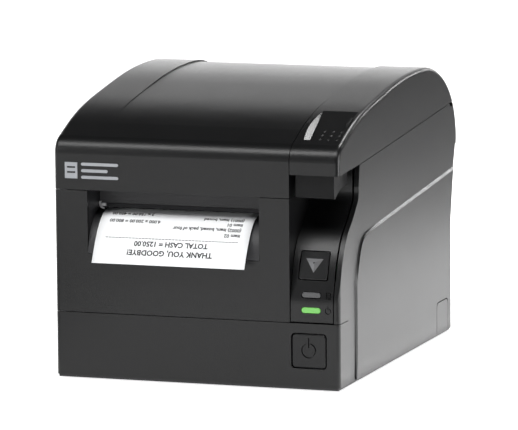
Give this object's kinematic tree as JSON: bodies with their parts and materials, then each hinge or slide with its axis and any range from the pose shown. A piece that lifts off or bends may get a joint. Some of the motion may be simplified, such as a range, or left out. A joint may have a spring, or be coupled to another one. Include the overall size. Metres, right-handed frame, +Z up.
{
  "type": "receipt printer",
  "caption": "Desktop thermal receipt printer with a front paper exit, sloping hinged lid with release lever, control column, feed and power buttons and a rear cable bay.",
  "frame": {"origin": "middle of the overall footprint, on the table", "axes": "+Z up, +Y towards the rear (connector side), +X to the right of a person facing the paper exit"},
  "size_m": [0.148, 0.2048, 0.1435],
  "materials": {
    "case_plastic": "satin",
    "button_plastic": "satin",
    "silver_print": "satin",
    "clear_lens": "gloss",
    "green_lens": "gloss",
    "frame_plastic": "matte",
    "steel": "brushed",
    "spring_steel": "satin",
    "aluminium": "satin",
    "ceramic": "satin",
    "platen_rubber": "matte",
    "foot_rubber": "matte",
    "gear_plastic": "satin",
    "motor_case": "satin",
    "paper": "matte",
    "cardboard": "matte",
    "circuit_board": "satin",
    "component_black": "satin",
    "port_shell": "satin",
    "port_black": "satin"
  },
  "bodies": {
    "housing": {"base_tray": "frame_plastic", "board_components": "component_black", "board_screws": "steel", "button_board": "circuit_board", "cable_plugs": "case_plastic", "case_screws": "steel", "control_column": "case_plastic", "cutter_base": "steel", "cutter_motor": "motor_case", "drawer_port": "port_black", "feed_motor": "motor_case", "feed_switch": "component_black", "hinge_rod": "steel", "left_side_panel": "case_plastic", "light_board": "circuit_board", "lower_front_panel": "case_plastic", "main_board": "circuit_board", "mechanism_chassis": "steel", "motor_bracket": "steel", "network_port": "port_shell", "paper_bucket": "frame_plastic", "paper_chute": "frame_plastic", "paper_web": "paper", "platen_bearings": "gear_plastic", "power_inlet": "port_black", "power_switch": "component_black", "power_window": "green_lens", "printed_slip": "paper", "rear_panel": "case_plastic", "right_side_panel": "case_plastic", "rubber_feet": "foot_rubber", "serial_port": "port_shell", "status_lights": "clear_lens", "status_window": "clear_lens", "upper_housing": "case_plastic", "usb_port": "port_shell"},
    "lid": {"lid_cover": "case_plastic", "lid_grip_strip": "case_plastic", "front_badge": "silver_print", "lid_inner_frame": "frame_plastic", "tear_bar": "steel", "fixed_blade": "steel", "thermal_head": "ceramic", "head_heat_sink": "aluminium", "head_springs": "spring_steel", "lever_pin": "steel", "lever_spring": "spring_steel"},
    "release_lever": {"release_lever": "button_plastic"},
    "feed_button": {"feed_button": "button_plastic"},
    "power_button": {"power_button": "button_plastic"},
    "roll": {"paper_roll": "paper", "roll_core": "cardboard"},
    "platen": {"platen_roller": "platen_rubber", "platen_shaft": "steel", "platen_gear": "gear_plastic"},
    "idler_gear": {"idler_gear": "gear_plastic"},
    "motor_pinion": {"motor_pinion": "steel"},
    "moving_blade": {"moving_blade": "steel"},
    "cutter_pinion": {"cutter_pinion": "gear_plastic"}
  },
  "joints": [
    {"name": "lid_hinge", "type": "hinge", "parent": "housing", "child": "lid", "pos_m": [0, 0.0926, 0.1215], "axis": [-1, 0, 0], "range_deg": [0, 80]},
    {"name": "lever_pivot", "type": "hinge", "parent": "lid", "child": "release_lever", "pos_m": [0.06, -0.0659, 0.11], "axis": [-1, 0, 0], "range_deg": [0, 8], "stiffness_Nm_per_rad": 0.05, "springref_deg": -11.46},
    {"name": "feed_press", "type": "slide", "parent": "housing", "child": "feed_button", "axis": [0, 0.9286, -0.3712], "range_m": [0, 0.0008], "stiffness_N_per_m": 400, "springref_m": -0.001},
    {"name": "power_press", "type": "slide", "parent": "housing", "child": "power_button", "axis": [0, 1, 0], "range_m": [0, 0.0015], "stiffness_N_per_m": 400, "springref_m": -0.001},
    {"name": "roll_spin", "type": "hinge", "parent": "housing", "child": "roll", "pos_m": [-0.012, 0.0231, 0.084], "axis": [1, 0, 0], "continuous": true},
    {"name": "platen_spin", "type": "hinge", "parent": "housing", "child": "platen", "pos_m": [0, -0.0529, 0.0766], "axis": [1, 0, 0], "continuous": true},
    {"name": "idler_spin", "type": "hinge", "parent": "housing", "child": "idler_gear", "pos_m": [0.0366, -0.0385, 0.05944], "axis": [1, 0, 0], "continuous": true},
    {"name": "motor_spin", "type": "hinge", "parent": "housing", "child": "motor_pinion", "pos_m": [0.0366, -0.02046, 0.05287], "axis": [1, 0, 0], "continuous": true},
    {"name": "blade_cut", "type": "slide", "parent": "housing", "child": "moving_blade", "axis": [0, 0, 1], "range_m": [0, 0.006]},
    {"name": "cutter_spin", "type": "hinge", "parent": "housing", "child": "cutter_pinion", "pos_m": [-0.0609, -0.0664, 0.07], "axis": [0, -1, 0], "range_deg": [0, 54]}
  ],
  "couplings": [
    {"joint": "platen_spin", "follows": "roll_spin", "ratio": 5.5},
    {"joint": "idler_spin", "follows": "roll_spin", "ratio": -4.125},
    {"joint": "motor_spin", "follows": "roll_spin", "ratio": 8.25},
    {"joint": "cutter_spin", "follows": "blade_cut", "rad_per_m": 156.25}
  ]
}
